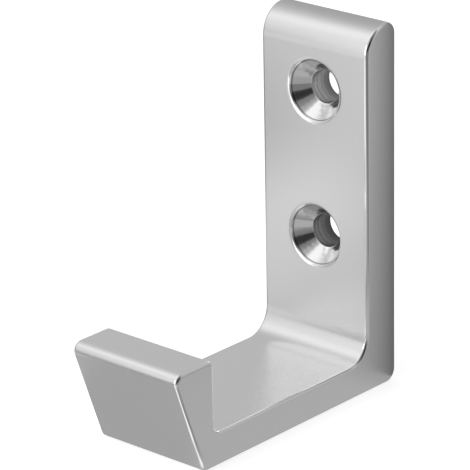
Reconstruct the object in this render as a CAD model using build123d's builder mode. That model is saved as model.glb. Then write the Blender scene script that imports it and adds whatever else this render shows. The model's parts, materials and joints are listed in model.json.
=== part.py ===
from build123d import *
import os

# A coat hook in one piece: a plate that screws flat to the wall, an arm that reaches out along its foot
# and a lip that leans outwards at the end of the arm. It is one extruded bar, cut to width.
# Millimetres. The wall is the plane Y = 0, the hook reaches out along -Y, and +Z is up.
# The origin lies on the wall plane, midway between the two screw holes.

# Width across the hook
hook_width = 17.7

# Plate on the wall
plate_height = 50.0
plate_thickness = 5.9

# Arm, and the room for a coat between the plate and the lip
arm_thickness = 4.5
throat_depth = 30.2

# Lip: its height from the underside of the hook, and its thickness there and at the top
lip_height = 14.6
lip_foot_thickness = 2.1
lip_top_thickness = 7.4

# Rounds of the bar's section, each named for its corner
wall_foot_round = 1.7
wall_top_round = 1.7
plate_top_round = 4.0
plate_arm_fillet = 3.7
arm_lip_fillet = 1.4
lip_inner_round = 0.8
lip_outer_round = 1.3
lip_foot_round = 1.0

# Soft round along both cut ends
end_round = 0.45

# Countersunk screw holes, one above the other in the plate
screw_spacing = 20.0
upper_screw_to_top = 9.9
bore_diameter = 4.6
countersink_diameter = 8.6
countersink_angle = 82.0
countersink_mouth_round = 0.7

# Heights and reaches in the hook's own frame
top_z = screw_spacing / 2 + upper_screw_to_top
foot_z = top_z - plate_height
arm_top_z = foot_z + arm_thickness
lip_top_z = foot_z + lip_height
plate_front_y = -plate_thickness
lip_inner_y = plate_front_y - throat_depth
lip_foot_y = lip_inner_y - lip_foot_thickness
lip_tip_y = lip_inner_y - lip_top_thickness

# Corners of the section, from the foot of the plate up the wall and round to the foot of the lip
section_corners = [
    ((0, foot_z), wall_foot_round),
    ((0, top_z), wall_top_round),
    ((plate_front_y, top_z), plate_top_round),
    ((plate_front_y, arm_top_z), plate_arm_fillet),
    ((lip_inner_y, arm_top_z), arm_lip_fillet),
    ((lip_inner_y, lip_top_z), lip_inner_round),
    ((lip_tip_y, lip_top_z), lip_outer_round),
    ((lip_foot_y, foot_z), lip_foot_round),
]

with BuildPart() as coat_hook:
    # The bar, drawn from the side and extruded to both sides of its middle
    with BuildSketch(Plane.YZ):
        with BuildLine():
            FilletPolyline(
                [corner for corner, _ in section_corners],
                radius=[corner_round for _, corner_round in section_corners],
                close=True,
            )
        make_face()
    extrude(amount=hook_width / 2, both=True)

    # Soft edges all round both cut ends
    cut_ends = coat_hook.faces().filter_by(Axis.X)
    fillet(cut_ends.edges(), radius=end_round)

    # Screw holes, sunk from the front of the plate and right through to the wall
    plate_front = Plane(origin=(0, plate_front_y, 0), x_dir=(1, 0, 0), z_dir=(0, -1, 0))
    with Locations(plate_front):
        with GridLocations(0, screw_spacing, 1, 2):
            CounterSinkHole(
                radius=bore_diameter / 2,
                counter_sink_radius=countersink_diameter / 2,
                counter_sink_angle=countersink_angle,
            )

    # The mouth of each countersink runs softly into the plate's front, which is the flat face next
    # to the wall's when the upright faces are taken in order along Y
    front_face = coat_hook.faces().filter_by(Axis.Y).sort_by(Axis.Y)[-2]
    fillet(front_face.inner_wires().edges(), radius=countersink_mouth_round)

coat_hook.part.label = "coat_hook"

os.makedirs("parts", exist_ok=True)
export_step(coat_hook.part, "parts/coat_hook.step")
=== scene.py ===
import json
import math
from typing import NamedTuple

import bpy
from mathutils import Matrix, Vector


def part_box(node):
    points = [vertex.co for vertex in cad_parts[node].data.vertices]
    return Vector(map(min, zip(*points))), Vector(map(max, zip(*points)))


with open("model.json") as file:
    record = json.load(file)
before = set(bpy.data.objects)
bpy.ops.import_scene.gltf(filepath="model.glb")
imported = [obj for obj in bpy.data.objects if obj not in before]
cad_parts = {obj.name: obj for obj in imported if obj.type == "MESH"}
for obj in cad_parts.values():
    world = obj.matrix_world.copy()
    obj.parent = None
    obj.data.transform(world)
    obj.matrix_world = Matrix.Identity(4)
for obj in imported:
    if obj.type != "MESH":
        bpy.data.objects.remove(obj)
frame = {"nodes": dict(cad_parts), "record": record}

bl_info = {
    "name": "Coat hook",
    "version": (1, 0, 0),
    "blender": (4, 5, 0),
    "location": "3D View > Sidebar > Coat hook",
    "description": "Finishes a satin metal coat hook and sets its small photo stage",
    "category": "Object",
}

# The hook is one piece of metal: an upright plate with two countersunk screw holes, an arm along its foot
# and a lip that leans outwards. Lengths are in metres, and +Z is up the wall. LOW and HIGH are the two far
# corners of the box round the hook.
HOOK = "coat_hook"
SLOT = "satin_metal"
MM = 0.001
LOW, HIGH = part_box(HOOK)
PLATE_THICKNESS = 5.9 * MM
WHITE = (1.0, 1.0, 1.0, 1.0)

# Noise keeps near its middle value, so only this part of its range is spread from 0 to 1
NOISE_LOW = 0.3
NOISE_HIGH = 0.7

# Blasted metal: its dimples, and the faint clouding that makes it a little lighter, darker and duller
GRAIN_DETAIL = 2.0
GRAIN_ROUGHNESS = 0.6
CLOUD_SCALE = 0.35
CLOUD_DETAIL = 1.5
CLOUDING = 0.004
CLOUDED_ROUGHNESS = 0.003

# Burnished rounds along the cut ends, from how far the surface faces sideways
ROUND_STARTS = (0.05, 0.25)
ROUND_ENDS = (0.95, 0.999)

# Screw holes: how near to the cut wall a place has to be, and where the cut metal ends past the plate's front
WALL_BLEND = (0.04 * MM, 0.1 * MM)
MOUTH_BLEND = (0.1 * MM, 0.2 * MM)
BORE_BLEND = 0.05 * MM

# The painted shade round each cone: a thin dark line that stands in for the dark reflection where the cone
# meets the rounded mouth. How far behind the plate's front it lies, and its core and its outer edge
PAINTED_MOUTH_SHADE_SUNK = 0.3 * MM
PAINTED_MOUTH_SHADE_BLEND = (0.04 * MM, 0.12 * MM)

# The bores, as shares of their colour: how dark and light their rings are, and how dark the painted shade
# makes them at the wall.
# The painted shade covers a share of their length, and the cones have the same rings, but fainter.
RING_DETAIL = 2.0
DARK_RING = 0.75
LIGHT_RING = 1.2
BORE_SHADE = 0.3
BORE_SHADE_REACH = 0.8
CONE_RING_SHARE = 0.1

# The screw holes mirror themselves, so the light has to be followed through several reflections
GLOSSY_BOUNCES = 8

# The camera sees nothing nearer than this
CAMERA_NEAR = 10 * MM

# The light tent is a ball round the hook. Its foot and the steps of its mesh are in degrees.
TENT_MIDDLE = Vector((0.0, -0.02, -0.005))
TENT_RADIUS = 0.6
TENT_STEP = 2
TENT_FOOT = -8

# The table top and the floor lie just under the hook
TABLE_DROP = 0.02 * MM
TABLE_REACH = 0.62
FLOOR_DROP = 0.04 * MM
FLOOR_REACH = 3.0

# The table top's mesh has a corner every millimetre near the hook, and wider steps further out
TABLE_NEAR_X = (-60 * MM, 40 * MM)
TABLE_NEAR_Y = (-110 * MM, 10 * MM)
TABLE_FAR_STEP_X = 20 * MM
TABLE_FAR_STEP_Y = 30 * MM

# The wall card: its left and right sides, its top, how far behind the hook's back it is, and its mesh's steps
WALL_CARD_LEFT = -160 * MM
WALL_CARD_RIGHT = 21 * MM
WALL_CARD_TOP = 120 * MM
WALL_CARD_Y = 0.3 * MM
CARD_STEP = 2 * MM
CARD_LEFT_STEP = 5 * MM
CARD_RIGHT_STEP = 1 * MM

# The piece of the wall card above the hook ends a little short of the hook's right side
TOP_CARD_SHORT = 2 * MM

# The card is shaded above the hook. The shade fades with distance, and faster down the hook's left side.
WALL_SHADE = 0.27
WALL_SHADE_WIDTH = 14 * MM
WALL_SHADE_DOWNWARDS = 2.5

# Higher up the card gets brighter, by a share for each metre, up to a limit above the hook and up to a height
# on its right
WALL_RISE = 4.0
WALL_RISE_LIMIT = 0.08
WALL_RIGHT_RISE = 5.8
WALL_RIGHT_RISE_TOP = 20 * MM

# How fast the hook's shadow on the right fades above its top
WALL_SHADOW_ABOVE = 4 * MM

# The strip of card in front of the lip
FRONT_CARD_SIDES = (-34 * MM, 4 * MM)
FRONT_CARD_TOP = -16 * MM
FRONT_CARD_Y = -60 * MM
FRONT_CARD_LEVEL = 0.36

# The card behind the plate gets brighter from the lower screw hole to the upper one
BACK_CARD_Y = 1 * MM
BACK_CARD_LEVEL = 0.21
BACK_CARD_RISE = 0.21


class Patch(NamedTuple):
    """A patch of cloth on the stage: its four sides, the width of its soft edge and its brightness."""

    left: float
    right: float
    low: float
    high: float
    edge: float
    level: float


# Patches on the table top, in millimetres, with low towards the front. A later one covers those before it.
TABLE_PATCHES = (
    # Dark, far to the right
    Patch(left=60, right=700, low=-700, high=100, edge=50, level=0.2),
    # Grey, round the arm
    Patch(left=-4, right=45, low=-45, high=20, edge=14, level=0.45),
    # Bright, far in front of the lip
    Patch(left=-33, right=12, low=-700, high=-84, edge=20, level=1.5),
    # Grey, in front on the right
    Patch(left=20, right=75, low=-85, high=-48, edge=20, level=0.55),
    # Bright, nearer in front of the lip
    Patch(left=-30, right=12, low=-84, high=-60, edge=12, level=1.5),
    # Pale, on the left
    Patch(left=-700, right=-27, low=-700, high=100, edge=12, level=0.67),
    # Dark, far to the left
    Patch(left=-700, right=-64, low=-94, high=100, edge=24, level=0.22),
    # Pale, in front on the left
    Patch(left=-54, right=-24, low=-100, high=-50, edge=12, level=0.9),
    # Grey, under the lip
    Patch(left=-18, right=6.5, low=-50, high=-30, edge=4, level=0.4),
    # Grey, close in front of the lip
    Patch(left=-24, right=6.5, low=-62, high=-45, edge=6, level=0.4),
    # Bright, at the lip's front corner on the right
    Patch(left=6.6, right=13, low=-60, high=-42.5, edge=2, level=1.1),
    # Bright and narrow, under the right corner of the lip's foot
    Patch(left=8.4, right=10.5, low=-44, high=-38.5, edge=1, level=1.0),
    # Dark, to the left of the plate and behind it
    Patch(left=-700, right=-9, low=-16, high=700, edge=8, level=0.2),
    # Dark, to the right of the lip
    Patch(left=12.5, right=32, low=-48, high=-35, edge=3, level=0.28),
    # Dark grey, behind the plate
    Patch(left=-10, right=700, low=-3, high=700, edge=6, level=0.38),
    # Dark, to the right of the plate
    Patch(left=50, right=700, low=-30, high=60, edge=20, level=0.2),
    # Dark grey, to the right of the arm, where the cones see it
    Patch(left=32, right=80, low=-55, high=-20, edge=12, level=0.36),
)


def mount(name):
    """One of the places where the hook is fastened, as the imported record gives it."""
    return next(m for m in frame["record"]["mounts"] if m["name"] == name)


SCREW_SPACING = mount("screw_holes")["dims"]["spacing_y_mm"] * MM
BORE_RADIUS = mount("upper_screw_bore")["dims"]["r_mm"] * MM
BORE_LENGTH = mount("upper_screw_bore")["dims"]["length_mm"] * MM


class HookFinishSettings(bpy.types.PropertyGroup):
    """The metal's colour and surface"""

    metal_colour: bpy.props.FloatVectorProperty(
        name="Metal colour",
        description="Colour of the blasted metal",
        subtype="COLOR", size=3, min=0.0, max=1.0, default=(0.88, 0.88, 0.88),
    )
    satin_roughness: bpy.props.FloatProperty(
        name="Satin roughness",
        description="How soft reflections are on the blasted faces",
        subtype="FACTOR", min=0.0, max=1.0, default=0.27,
    )
    grain_size: bpy.props.FloatProperty(
        name="Grain size",
        description="Width of the dimples that blasting leaves",
        subtype="DISTANCE", unit="LENGTH", min=0.00005, max=0.002, default=0.00016,
    )
    grain_depth: bpy.props.FloatProperty(
        name="Grain depth",
        description="Depth of the dimples that blasting leaves",
        subtype="DISTANCE", unit="LENGTH", min=0.0, max=0.0001, default=0.0000015,
    )
    turned_colour: bpy.props.FloatVectorProperty(
        name="Turned colour",
        description="Colour of the bright metal in the countersinks",
        subtype="COLOR", size=3, min=0.0, max=1.0, default=(0.88, 0.88, 0.88),
    )
    # Painted shade: the colour of the thin dark line round each cone's mouth, which stands in for a dark
    # reflection
    painted_mouth_shade_colour: bpy.props.FloatVectorProperty(
        name="Painted mouth shade colour",
        description="Colour of the thin dull line where the countersink's cone meets its rounded mouth",
        subtype="COLOR", size=3, min=0.0, max=1.0, default=(0.38, 0.38, 0.38),
    )
    bore_colour: bpy.props.FloatVectorProperty(
        name="Bore colour",
        description="Colour of the duller metal in the drilled bores",
        subtype="COLOR", size=3, min=0.0, max=1.0, default=(0.78, 0.78, 0.78),
    )
    turned_roughness: bpy.props.FloatProperty(
        name="Turned roughness",
        description="How soft reflections are in the countersinks",
        subtype="FACTOR", min=0.0, max=1.0, default=0.15,
    )
    bore_roughness: bpy.props.FloatProperty(
        name="Bore roughness",
        description="How soft reflections are in the bores",
        subtype="FACTOR", min=0.0, max=1.0, default=0.22,
    )
    edge_roughness: bpy.props.FloatProperty(
        name="Edge roughness",
        description="How soft reflections are on the rounds along the cut ends, which handling burnishes",
        subtype="FACTOR", min=0.0, max=1.0, default=0.12,
    )
    tool_mark_pitch: bpy.props.FloatProperty(
        name="Tool mark pitch",
        description="Distance between the rings that the cutter leaves",
        subtype="DISTANCE", unit="LENGTH", min=0.00002, max=0.001, default=0.0003,
    )
    tool_mark_depth: bpy.props.FloatProperty(
        name="Tool mark depth",
        description="Depth of the rings that the cutter leaves",
        subtype="DISTANCE", unit="LENGTH", min=0.0, max=0.0001, default=0.00004,
    )
    countersink_angle: bpy.props.FloatProperty(
        name="Countersink angle",
        description="Whole angle of the countersinks' cones",
        subtype="ANGLE", unit="ROTATION", min=0.5, max=2.5, default=math.radians(82.0),
    )


class StageSettings(bpy.types.PropertyGroup):
    """The floor, the light and the camera"""

    floor_colour: bpy.props.FloatVectorProperty(
        name="Floor colour",
        description="Colour of the floor",
        subtype="COLOR", size=3, min=0.0, max=1.0, default=(0.8, 0.8, 0.8),
    )
    shadow_depth: bpy.props.FloatProperty(
        name="Shadow depth",
        description="How much of the hook's shadow the white floor keeps",
        subtype="FACTOR", min=0.0, max=1.0, default=0.32,
    )
    background_level: bpy.props.FloatProperty(
        name="Background level",
        description="Brightness of the white surroundings, where 1 is white",
        subtype="FACTOR", min=0.0, max=2.0, default=1.0,
    )
    tent_level: bpy.props.FloatProperty(
        name="Tent level",
        description="Brightness of the light tent's plain white cloth",
        subtype="FACTOR", min=0.0, max=3.0, default=1.06,
    )
    soft_box_level: bpy.props.FloatProperty(
        name="Soft box level",
        description="Brightness of the soft box in front of the hook",
        subtype="FACTOR", min=0.0, max=3.0, default=2.0,
    )
    roof_level: bpy.props.FloatProperty(
        name="Roof level",
        description="Brightness of the tent's grey roof",
        subtype="FACTOR", min=0.0, max=3.0, default=0.45,
    )
    left_level: bpy.props.FloatProperty(
        name="Left level",
        description="Brightness of the tent's grey left side",
        subtype="FACTOR", min=0.0, max=3.0, default=0.36,
    )
    back_level: bpy.props.FloatProperty(
        name="Back level",
        description="Brightness of the tent's grey back",
        subtype="FACTOR", min=0.0, max=3.0, default=0.5,
    )
    grey_level: bpy.props.FloatProperty(
        name="Grey level",
        description="Brightness of the dark grey cloth round the black one",
        subtype="FACTOR", min=0.0, max=3.0, default=0.22,
    )
    black_level: bpy.props.FloatProperty(
        name="Black level",
        description="Brightness of the black cloth on the camera's side",
        subtype="FACTOR", min=0.0, max=3.0, default=0.03,
    )
    table_level: bpy.props.FloatProperty(
        name="Table level",
        description="Brightness of the grey table top that the hook's reflections see",
        subtype="FACTOR", min=0.0, max=3.0, default=0.64,
    )
    wall_level: bpy.props.FloatProperty(
        name="Wall level",
        description="Brightness of the card in the plane of the hook's back",
        subtype="FACTOR", min=0.0, max=3.0, default=0.53,
    )
    wall_right_level: bpy.props.FloatProperty(
        name="Wall level on the right",
        description="Brightness of that card on the hook's right",
        subtype="FACTOR", min=0.0, max=3.0, default=0.6,
    )
    wall_shadow: bpy.props.FloatProperty(
        name="Wall shadow",
        description="How much of its brightness the wall card loses close to the hook's right side",
        subtype="FACTOR", min=0.0, max=1.0, default=0.8,
    )
    wall_shadow_width: bpy.props.FloatProperty(
        name="Wall shadow width",
        description="How far from the hook the shadow on the wall card fades",
        subtype="DISTANCE", unit="LENGTH", min=0.0005, max=0.05, default=0.006,
    )
    camera_azimuth: bpy.props.FloatProperty(
        name="Camera azimuth",
        description="How far round to the hook's right the camera stands",
        subtype="ANGLE", unit="ROTATION", default=math.radians(41.752),
    )
    camera_elevation: bpy.props.FloatProperty(
        name="Camera elevation",
        description="How far above the hook the camera stands",
        subtype="ANGLE", unit="ROTATION", default=math.radians(20.849),
    )
    camera_roll: bpy.props.FloatProperty(
        name="Camera roll",
        description="How far the camera is tipped about its own line of sight",
        subtype="ANGLE", unit="ROTATION", default=math.radians(-1.045),
    )
    camera_distance: bpy.props.FloatProperty(
        name="Camera distance",
        description="From the camera to the point that it looks at",
        subtype="DISTANCE", unit="LENGTH", default=0.40808,
    )
    camera_lens: bpy.props.FloatProperty(
        name="Focal length",
        description="The camera's focal length",
        unit="CAMERA", default=244.742,
    )
    camera_aim: bpy.props.FloatVectorProperty(
        name="Camera aim",
        description="The point on the hook's middle plane that the camera looks at",
        subtype="TRANSLATION", unit="LENGTH", size=3, default=(0.0, -0.021734, -0.005255),
    )


def add_node(tree, kind, **settings):
    """A new node with its settings."""
    node = tree.nodes.new(kind)
    for name, value in settings.items():
        setattr(node, name, value)
    return node


def feed(tree, value, socket):
    """Gives a socket another socket's value or a constant."""
    if isinstance(value, bpy.types.NodeSocket):
        tree.links.new(value, socket)
    else:
        socket.default_value = value


def calculate(tree, operation, *values):
    """A Math node's result."""
    node = add_node(tree, "ShaderNodeMath", operation=operation)
    for value, socket in zip(values, node.inputs):
        feed(tree, value, socket)
    return node.outputs["Value"]


def ramp(tree, value, low, high, to_low=0.0, to_high=1.0):
    """A value that goes smoothly from to_low to to_high between low and high."""
    node = add_node(tree, "ShaderNodeMapRange", interpolation_type="SMOOTHSTEP")
    feed(tree, value, node.inputs["Value"])
    feed(tree, low, node.inputs["From Min"])
    feed(tree, high, node.inputs["From Max"])
    feed(tree, to_low, node.inputs["To Min"])
    feed(tree, to_high, node.inputs["To Max"])
    return node.outputs["Result"]


def fall(tree, value, low, high):
    """1 up to low and 0 from high on, and smoothly between."""
    return ramp(tree, value, low, high, 1.0, 0.0)


def mix(tree, data_type, kind, mask, first, second):
    """A Mix node's result. Its sockets share their names, so they are found by their identifiers."""
    node = add_node(tree, "ShaderNodeMix", data_type=data_type)
    inputs = {socket.identifier: socket for socket in node.inputs}
    outputs = {socket.identifier: socket for socket in node.outputs}
    feed(tree, mask, inputs["Factor_Float"])
    feed(tree, first, inputs["A_" + kind])
    feed(tree, second, inputs["B_" + kind])
    return outputs["Result_" + kind]


def mix_colour(tree, mask, first, second):
    """A colour between two, by a mask."""
    return mix(tree, "RGBA", "Color", mask, first, second)


def mix_value(tree, mask, first, second):
    """A value between two, by a mask."""
    return mix(tree, "FLOAT", "Float", mask, first, second)


def shade(colour, share=1.0):
    """A colour made darker or lighter by a share, as a shader's socket takes it."""
    return (*(Vector(colour) * share), 1.0)


def new_group(name, inputs, outputs):
    """An empty shader node group that puts out values, and its inner input and output nodes."""
    group = bpy.data.node_groups.new(name, "ShaderNodeTree")
    for label, kind in inputs:
        group.interface.new_socket(name=label, in_out="INPUT", socket_type=kind)
    for label in outputs:
        group.interface.new_socket(name=label, in_out="OUTPUT", socket_type="NodeSocketFloat")
    return group, group.nodes.new("NodeGroupInput"), group.nodes.new("NodeGroupOutput")


def place_group(tree, group, **values):
    """A group node in a material, with its own values."""
    node = add_node(tree, "ShaderNodeGroup", node_tree=group)
    for label, value in values.items():
        feed(tree, value, node.inputs[label.replace("_", " ")])
    return node


def add_noise(group, position, scale, detail):
    """A noise texture in space."""
    noise = add_node(group, "ShaderNodeTexNoise")
    feed(group, position, noise.inputs["Vector"])
    feed(group, scale, noise.inputs["Scale"])
    feed(group, detail, noise.inputs["Detail"])
    return noise


def blasted_grain_group():
    """Fine dimples, as blasting leaves them, and a faint clouding over them."""
    group, given, made = new_group(
        "blasted_grain",
        [("Position", "NodeSocketVector"), ("Size", "NodeSocketFloat")],
        ["Height", "Clouding"],
    )
    position = given.outputs["Position"]
    per_metre = calculate(group, "DIVIDE", 1.0, given.outputs["Size"])
    grain = add_noise(group, position, per_metre, GRAIN_DETAIL)
    feed(group, GRAIN_ROUGHNESS, grain.inputs["Roughness"])
    feed(group, grain.outputs["Fac"], made.inputs["Height"])
    cloud = add_noise(group, position, calculate(group, "MULTIPLY", per_metre, CLOUD_SCALE), CLOUD_DETAIL)
    feed(group, ramp(group, cloud.outputs["Fac"], NOISE_LOW, NOISE_HIGH), made.inputs["Clouding"])
    return group


def hole_place(group, given):
    """How far a place is out from the wall, and how far from the middle line of the nearest screw hole."""
    place = add_node(group, "ShaderNodeSeparateXYZ")
    feed(group, given.outputs["Position"], place.inputs["Vector"])
    out = calculate(group, "MULTIPLY", place.outputs["Y"], -1.0)
    half = calculate(group, "MULTIPLY", given.outputs["Screw spacing"], 0.5)
    up = calculate(group, "SUBTRACT", calculate(group, "ABSOLUTE", place.outputs["Z"]), half)
    across_squared = calculate(group, "MULTIPLY", place.outputs["X"], place.outputs["X"])
    up_squared = calculate(group, "MULTIPLY", up, up)
    return out, calculate(group, "SQRT", calculate(group, "ADD", across_squared, up_squared))


def cut_mask(group, given, radius, past_bore, past_plate):
    """1 on the metal that the cutter left in the screw holes, and 0 elsewhere."""
    slope, bore_radius = given.outputs["Cone slope"], given.outputs["Bore radius"]
    into_cone = calculate(group, "MAXIMUM", past_bore, 0.0)
    wall = calculate(group, "MULTIPLY_ADD", into_cone, slope, bore_radius)
    in_hole = fall(group, calculate(group, "SUBTRACT", radius, wall), *WALL_BLEND)
    return calculate(group, "MULTIPLY", in_hole, fall(group, past_plate, *MOUTH_BLEND))


def ring_height(group, given, out):
    """The rings that the cutter left, one after the other along the hole."""
    rings = add_node(group, "ShaderNodeTexNoise", noise_dimensions="1D")
    feed(group, calculate(group, "DIVIDE", out, given.outputs["Pitch"]), rings.inputs["W"])
    feed(group, 1.0, rings.inputs["Scale"])
    feed(group, RING_DETAIL, rings.inputs["Detail"])
    return ramp(group, rings.outputs["Fac"], NOISE_LOW, NOISE_HIGH)


def turned_rings_group():
    """Where the cutter went in and the rings it left there, and where painted shade darkens the bores and the
    cones' mouths.
    """
    group, given, made = new_group(
        "turned_rings",
        [
            ("Position", "NodeSocketVector"),
            ("Screw spacing", "NodeSocketFloat"),
            ("Bore radius", "NodeSocketFloat"),
            ("Bore length", "NodeSocketFloat"),
            ("Plate thickness", "NodeSocketFloat"),
            ("Cone slope", "NodeSocketFloat"),
            ("Pitch", "NodeSocketFloat"),
        ],
        ["Mask", "Bore", "Painted bore shade", "Painted mouth shade", "Height"],
    )
    out, radius = hole_place(group, given)
    past_bore = calculate(group, "SUBTRACT", out, given.outputs["Bore length"])
    past_plate = calculate(group, "SUBTRACT", out, given.outputs["Plate thickness"])
    feed(group, cut_mask(group, given, radius, past_bore, past_plate), made.inputs["Mask"])
    feed(group, fall(group, past_bore, -BORE_BLEND, BORE_BLEND), made.inputs["Bore"])
    # Painted shade in the bores: darkest at the wall, and gone a share of the way along them
    share_of_bore = calculate(group, "DIVIDE", out, given.outputs["Bore length"])
    feed(group, fall(group, share_of_bore, 0.0, BORE_SHADE_REACH), made.inputs["Painted bore shade"])
    # The painted shade round each cone's mouth: a thin dark line a little behind the plate's front
    from_painted_shade = calculate(group, "ABSOLUTE", calculate(group, "ADD", past_plate, PAINTED_MOUTH_SHADE_SUNK))
    feed(group, fall(group, from_painted_shade, *PAINTED_MOUTH_SHADE_BLEND), made.inputs["Painted mouth shade"])
    feed(group, ring_height(group, given, out), made.inputs["Height"])
    return group


def burnished_edge_group():
    """Where the soft rounds along the two cut ends are, from the way the surface faces."""
    group, given, made = new_group("burnished_edge", [("Normal", "NodeSocketVector")], ["Mask"])
    facing = add_node(group, "ShaderNodeSeparateXYZ")
    feed(group, given.outputs["Normal"], facing.inputs["Vector"])
    sideways = calculate(group, "ABSOLUTE", facing.outputs["X"])
    leaves_front = ramp(group, sideways, *ROUND_STARTS)
    reaches_end = fall(group, sideways, *ROUND_ENDS)
    feed(group, calculate(group, "MULTIPLY", leaves_front, reaches_end), made.inputs["Mask"])
    return group


def hook_colour(tree, grain, turned, settings):
    """Clouded on the blasted faces, bright in the cones but for a painted dark line of shade round their
    mouths, and ringed and darker in the bores, with painted shade towards the wall.
    """
    metal, bore = settings.metal_colour, settings.bore_colour
    darker, lighter = shade(metal, 1.0 - CLOUDING), shade(metal, 1.0 + CLOUDING)
    clouded = mix_colour(tree, grain.outputs["Clouding"], darker, lighter)
    # The cones' bright metal, with the painted dark line of shade round their mouths
    cone = mix_colour(
        tree, turned.outputs["Painted mouth shade"], shade(settings.turned_colour), shade(settings.painted_mouth_shade_colour),
    )
    ringed = mix_colour(tree, turned.outputs["Height"], shade(bore, DARK_RING), shade(bore, LIGHT_RING))
    # The bores darken towards the wall with painted shade
    drilled = mix_colour(tree, turned.outputs["Painted bore shade"], ringed, shade(bore, BORE_SHADE))
    cut = mix_colour(tree, turned.outputs["Bore"], cone, drilled)
    return mix_colour(tree, turned.outputs["Mask"], clouded, cut)


def hook_roughness(tree, grain, turned, settings):
    """Satin on the blasted faces, and smoother on the burnished rounds and in the screw holes."""
    satin = ramp(
        tree, grain.outputs["Clouding"], 0.0, 1.0,
        settings.satin_roughness - CLOUDED_ROUGHNESS, settings.satin_roughness + CLOUDED_ROUGHNESS,
    )
    normal = add_node(tree, "ShaderNodeTexCoord").outputs["Normal"]
    rounds = place_group(tree, burnished_edge_group(), Normal=normal).outputs["Mask"]
    blasted = mix_value(tree, rounds, satin, settings.edge_roughness)
    cut = mix_value(tree, turned.outputs["Bore"], settings.turned_roughness, settings.bore_roughness)
    return mix_value(tree, turned.outputs["Mask"], blasted, cut)


def hook_normal(tree, grain, turned, settings):
    """The dimples of the blasted faces and the rings of the screw holes, raised over the plain surface."""
    dimples = calculate(tree, "MULTIPLY", grain.outputs["Height"], settings.grain_depth)
    bore_rings = calculate(tree, "MULTIPLY", turned.outputs["Height"], settings.tool_mark_depth)
    cone_rings = calculate(tree, "MULTIPLY", bore_rings, CONE_RING_SHARE)
    rings = mix_value(tree, turned.outputs["Bore"], cone_rings, bore_rings)
    bump = add_node(tree, "ShaderNodeBump")
    feed(tree, mix_value(tree, turned.outputs["Mask"], dimples, rings), bump.inputs["Height"])
    feed(tree, 1.0, bump.inputs["Distance"])
    return bump.outputs["Normal"]


def hook_metal(settings):
    """Blasted satin metal, with bright turned countersinks and duller bores, and painted shade in the bores
    and round the cones' mouths.
    """
    material = bpy.data.materials.new(SLOT)
    material.use_nodes = True
    tree = material.node_tree
    shader = tree.nodes["Principled BSDF"]
    feed(tree, 1.0, shader.inputs["Metallic"])
    position = add_node(tree, "ShaderNodeTexCoord").outputs["Object"]
    grain = place_group(tree, blasted_grain_group(), Position=position, Size=settings.grain_size)
    turned = place_group(
        tree, turned_rings_group(), Position=position, Screw_spacing=SCREW_SPACING, Bore_radius=BORE_RADIUS,
        Bore_length=BORE_LENGTH, Plate_thickness=PLATE_THICKNESS,
        Cone_slope=math.tan(settings.countersink_angle / 2), Pitch=settings.tool_mark_pitch,
    )
    feed(tree, hook_colour(tree, grain, turned, settings), shader.inputs["Base Color"])
    feed(tree, hook_roughness(tree, grain, turned, settings), shader.inputs["Roughness"])
    feed(tree, hook_normal(tree, grain, turned, settings), shader.inputs["Normal"])
    return material


def direction(bearing, height):
    """The way to a bearing and a height, both in radians.

    Bearing 0 is straight out in front of the hook, and bearings rise towards its right.
    """
    outwards = math.cos(height)
    return Vector((math.sin(bearing) * outwards, -math.cos(bearing) * outwards, math.sin(height)))


def add_camera(settings):
    """The camera, at the photograph's viewing angle."""
    azimuth, roll = settings.camera_azimuth, settings.camera_roll
    back = direction(azimuth, settings.camera_elevation)
    right = Vector((math.cos(azimuth), math.sin(azimuth), 0.0))
    up = back.cross(right)
    tipped_right = right * math.cos(roll) + up * math.sin(roll)
    tipped_up = up * math.cos(roll) - right * math.sin(roll)
    camera = bpy.data.objects.new("camera", bpy.data.cameras.new("camera"))
    bpy.context.scene.collection.objects.link(camera)
    camera.data.lens = settings.camera_lens
    camera.data.clip_start = CAMERA_NEAR
    place = Vector(settings.camera_aim) + back * settings.camera_distance
    turned = Matrix((tipped_right, tipped_up, back)).transposed().to_4x4()
    camera.matrix_world = Matrix.Translation(place) @ turned
    bpy.context.scene.camera = camera


def add_world(settings):
    """Plain white surroundings."""
    world = bpy.data.worlds.new("studio")
    bpy.context.scene.world = world
    world.use_nodes = True
    background = world.node_tree.nodes["Background"]
    background.inputs["Color"].default_value = WHITE
    background.inputs["Strength"].default_value = settings.background_level


def stage_mesh(name, corners, faces, material):
    """A mesh that belongs to the stage."""
    mesh = bpy.data.meshes.new(name)
    mesh.from_pydata([tuple(corner) for corner in corners], [], faces)
    mesh.materials.append(material)
    piece = bpy.data.objects.new(name, mesh)
    bpy.context.scene.collection.objects.link(piece)
    return piece


def seen_in_reflections_only(piece):
    """Hides a card from everything but the metal's reflections."""
    piece.visible_camera = False
    piece.visible_diffuse = False
    piece.visible_shadow = False
    piece.visible_transmission = False


def grid(columns, rows, place):
    """Corners and faces of a sheet, from a place for each column and row."""
    corners = [place(column, row) for row in rows for column in columns]
    wide = len(columns)
    faces = [
        (at, at + 1, at + wide + 1, at + wide)
        for row in range(len(rows) - 1)
        for at in range(row * wide, (row + 1) * wide - 1)
    ]
    return corners, faces


def steps(low, high, step):
    """Evenly spaced values from low to high."""
    count = round((high - low) / step)
    return [low + (high - low) * number / count for number in range(count + 1)]


def near_and_far_steps(low, high, far_step):
    """Values right across the table top: a millimetre apart from low to high, and far_step apart outside."""
    before = steps(-TABLE_REACH, low, far_step)[:-1]
    after = steps(high, TABLE_REACH, far_step)[1:]
    return before + steps(low, high, MM) + after


def smooth(value):
    """A soft step from 0 to 1."""
    value = min(max(value, 0.0), 1.0)
    return value * value * (3.0 - 2.0 * value)


def patch_share(across, up, patch):
    """How much of a patch a place has: 1 on it, 0 off it, and in between along its soft edge."""
    inside = (across - patch.left, patch.right - across, up - patch.low, patch.high - up)
    return math.prod(smooth(distance / patch.edge + 0.5) for distance in inside)


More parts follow.
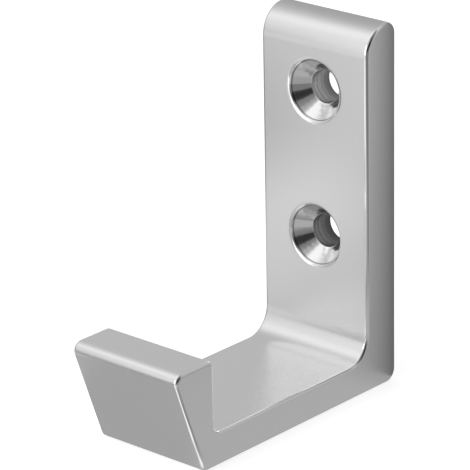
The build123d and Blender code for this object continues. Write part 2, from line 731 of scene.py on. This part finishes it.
def lit_level(across, up, plain, patches, turn=None):
    """The brightness of a place on a sheet of the stage: the plain sheet, and each patch on it in turn.

    On a sheet that closes on itself, turn is once round it.
    """
    level = plain
    for patch in patches:
        here = across
        if turn:
            middle = (patch.left + patch.right) / 2
            here = middle + (across - middle + turn / 2) % turn - turn / 2
        share = patch_share(here, up, patch)
        level = level * (1.0 - share) + patch.level * share
    return level


def glow_material(name):
    """A material that glows as brightly as the level stored at each corner of the mesh."""
    material = bpy.data.materials.new(name)
    material.use_nodes = True
    material.cycles.emission_sampling = "NONE"
    tree = material.node_tree
    tree.nodes.clear()
    glow = add_node(tree, "ShaderNodeEmission")
    stored = add_node(tree, "ShaderNodeAttribute", attribute_name="level")
    feed(tree, stored.outputs["Fac"], glow.inputs["Strength"])
    feed(tree, glow.outputs["Emission"], add_node(tree, "ShaderNodeOutputMaterial").inputs["Surface"])
    return material


def add_lit_sheet(name, columns, rows, place, level):
    """A sheet of the stage that glows, as bright at each place as level says."""
    corners, faces = grid(columns, rows, place)
    sheet = stage_mesh(name, corners, faces, glow_material(name))
    levels = sheet.data.attributes.new("level", "FLOAT", "POINT")
    levels.data.foreach_set("value", [level(column, row) for row in rows for column in columns])
    return sheet


def add_upright_card(name, columns, rows, y, level):
    """A card that stands upright along the wall, at y, and that only reflections see."""
    card = add_lit_sheet(name, columns, rows, lambda x, z: Vector((x, y, z)), level)
    seen_in_reflections_only(card)


def add_tent(settings):
    """A light tent: a white ball of cloth round the hook, with grey and black patches and a soft box.

    The patches are in degrees, left and right for bearings and low and high for heights.
    """
    patches = (
        Patch(left=4, right=221, low=-4, high=110, edge=26, level=settings.roof_level),
        Patch(left=-113, right=-5, low=-30, high=25, edge=70, level=settings.left_level),
        Patch(left=82, right=275, low=-20, high=53, edge=6, level=settings.back_level),
        Patch(left=18, right=112, low=-14, high=56, edge=14, level=settings.grey_level),
        Patch(left=30, right=104, low=4.5, high=33, edge=7, level=settings.black_level),
        # Pale grey, over the soft box
        Patch(left=-22, right=30, low=27, high=52, edge=14, level=0.7),
        # Pale grey, high on the left towards the back
        Patch(left=-150, right=-75, low=20, high=80, edge=36, level=0.68),
        Patch(left=-32, right=3, low=-20, high=32, edge=4, level=settings.soft_box_level),
    )

    def place(bearing, height):
        return TENT_MIDDLE + TENT_RADIUS * direction(math.radians(bearing), math.radians(height))

    def level(bearing, height):
        return lit_level(bearing, height, settings.tent_level, patches, turn=360)

    tent = add_lit_sheet("tent", steps(-180, 180, TENT_STEP), steps(TENT_FOOT, 90, TENT_STEP), place, level)
    tent.visible_camera = False


def add_table_top(settings):
    """The grey table top under the hook, with brighter and darker patches round it."""
    columns = near_and_far_steps(*TABLE_NEAR_X, TABLE_FAR_STEP_X)
    rows = near_and_far_steps(*TABLE_NEAR_Y, TABLE_FAR_STEP_Y)
    z = LOW[2] - TABLE_DROP

    def level(x, y):
        return lit_level(x / MM, y / MM, settings.table_level, TABLE_PATCHES)

    table_top = add_lit_sheet("table_top", columns, rows, lambda x, y: Vector((x, y, z)), level)
    seen_in_reflections_only(table_top)


def wall_card_level(settings, x, z):
    """The wall card's brightness: shaded above the hook, and in the hook's shadow on its right."""
    left, right, top = LOW[0], HIGH[0], HIGH[2]
    above = max(z - top, 0.0)
    if x < right:
        away = above + max(left - x, 0.0) + WALL_SHADE_DOWNWARDS * max(top - z, 0.0)
        darker = WALL_SHADE * math.exp(-away / WALL_SHADE_WIDTH)
        brighter = min(WALL_RISE * above, WALL_RISE_LIMIT)
        return settings.wall_level * (1.0 + brighter - darker)
    away = (x - right) / settings.wall_shadow_width + above / WALL_SHADOW_ABOVE
    shadow = settings.wall_shadow * math.exp(-away)
    brighter = WALL_RIGHT_RISE * min(z, WALL_RIGHT_RISE_TOP)
    return settings.wall_right_level * (1.0 - shadow) * (1.0 + brighter)


def add_wall_card(settings):
    """A grey card in the plane of the hook's back, cut out round the hook."""
    left, right, top = LOW[0], HIGH[0], HIGH[2]
    beside = steps(LOW[2], WALL_CARD_TOP, CARD_STEP)
    above = steps(top, WALL_CARD_TOP, CARD_STEP)
    for name, columns, rows in (
        ("wall_card_right", steps(right, WALL_CARD_RIGHT, CARD_RIGHT_STEP), beside),
        ("wall_card_left", steps(WALL_CARD_LEFT, left, CARD_LEFT_STEP), beside),
        ("wall_card_top", (left, right - TOP_CARD_SHORT), above),
    ):
        add_upright_card(name, columns, rows, WALL_CARD_Y, lambda x, z: wall_card_level(settings, x, z))


def add_small_cards():
    """A low strip of grey card in front of the lip, and a grey card behind the plate that the bores see."""
    def behind(x, z):
        return BACK_CARD_LEVEL + BACK_CARD_RISE * smooth(0.5 + z / SCREW_SPACING)

    strip = (LOW[2], FRONT_CARD_TOP)
    add_upright_card("front_card", FRONT_CARD_SIDES, strip, FRONT_CARD_Y, lambda x, z: FRONT_CARD_LEVEL)
    whole_back = steps(LOW[2], HIGH[2], CARD_STEP)
    add_upright_card("back_card", (LOW[0], HIGH[0]), whole_back, BACK_CARD_Y, behind)


def floor_material(settings):
    """Matt and pale, as white as the surroundings but for the hook's shadow, and clear from below."""
    material = bpy.data.materials.new("floor")
    material.use_nodes = True
    tree = material.node_tree
    shader = tree.nodes["Principled BSDF"]
    feed(tree, shade(settings.floor_colour), shader.inputs["Base Color"])
    feed(tree, 1.0, shader.inputs["Roughness"])
    feed(tree, 0.0, shader.inputs["Specular IOR Level"])
    light_path = add_node(tree, "ShaderNodeLightPath")
    seen = light_path.outputs["Is Camera Ray"]
    for name in ("Is Glossy Ray", "Is Transmission Ray"):
        seen = calculate(tree, "MAXIMUM", seen, light_path.outputs[name])
    feed(tree, WHITE, shader.inputs["Emission Color"])
    glow = calculate(tree, "MULTIPLY", seen, 1.0 - settings.shadow_depth)
    feed(tree, glow, shader.inputs["Emission Strength"])
    from_below = add_node(tree, "ShaderNodeNewGeometry").outputs["Backfacing"]
    feed(tree, calculate(tree, "SUBTRACT", 1.0, from_below), shader.inputs["Alpha"])
    return material


def add_floor(settings):
    """A wide pale floor that reads as white and keeps the hook's shadow."""
    reach, z = FLOOR_REACH, LOW[2] - FLOOR_DROP
    corners = [(-reach, -reach, z), (reach, -reach, z), (reach, reach, z), (-reach, reach, z)]
    stage_mesh("floor", corners, [(0, 1, 2, 3)], floor_material(settings))


class HOOK_OT_finish(bpy.types.Operator):
    """Give the hook its blasted metal and bright screw holes"""

    bl_idname = "coat_hook.finish"
    bl_label = "Finish the hook"

    def execute(self, context):
        hook = frame["nodes"][HOOK]
        hook.data.materials.clear()
        hook.data.materials.append(hook_metal(context.scene.hook_finish))
        return {"FINISHED"}


class HOOK_OT_stage(bpy.types.Operator):
    """Set up the floor, the light and the camera"""

    bl_idname = "coat_hook.stage"
    bl_label = "Set the stage"

    def execute(self, context):
        settings = context.scene.hook_stage
        add_world(settings)
        add_floor(settings)
        add_tent(settings)
        add_table_top(settings)
        add_wall_card(settings)
        add_small_cards()
        add_camera(settings)
        context.scene.view_settings.view_transform = "Standard"
        context.scene.cycles.glossy_bounces = GLOSSY_BOUNCES
        return {"FINISHED"}


class HOOK_PT_panel(bpy.types.Panel):
    """The hook's settings, each set over its own button"""

    bl_label = "Coat hook"
    bl_space_type = "VIEW_3D"
    bl_region_type = "UI"
    bl_category = "Coat hook"

    def draw(self, context):
        for settings, operator in (
            (context.scene.hook_finish, HOOK_OT_finish),
            (context.scene.hook_stage, HOOK_OT_stage),
        ):
            box = self.layout.box()
            for name in settings.__annotations__:
                box.prop(settings, name)
            box.operator(operator.bl_idname)


CLASSES = (HookFinishSettings, StageSettings, HOOK_OT_finish, HOOK_OT_stage, HOOK_PT_panel)


def register():
    for item in CLASSES:
        bpy.utils.register_class(item)
    bpy.types.Scene.hook_finish = bpy.props.PointerProperty(type=HookFinishSettings)
    bpy.types.Scene.hook_stage = bpy.props.PointerProperty(type=StageSettings)


def unregister():
    del bpy.types.Scene.hook_stage
    del bpy.types.Scene.hook_finish
    for item in reversed(CLASSES):
        bpy.utils.unregister_class(item)


def main():
    """Makes everything in order."""
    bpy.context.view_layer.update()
    register()
    bpy.ops.coat_hook.finish()
    bpy.ops.coat_hook.stage()


if __name__ == "__main__":
    main()
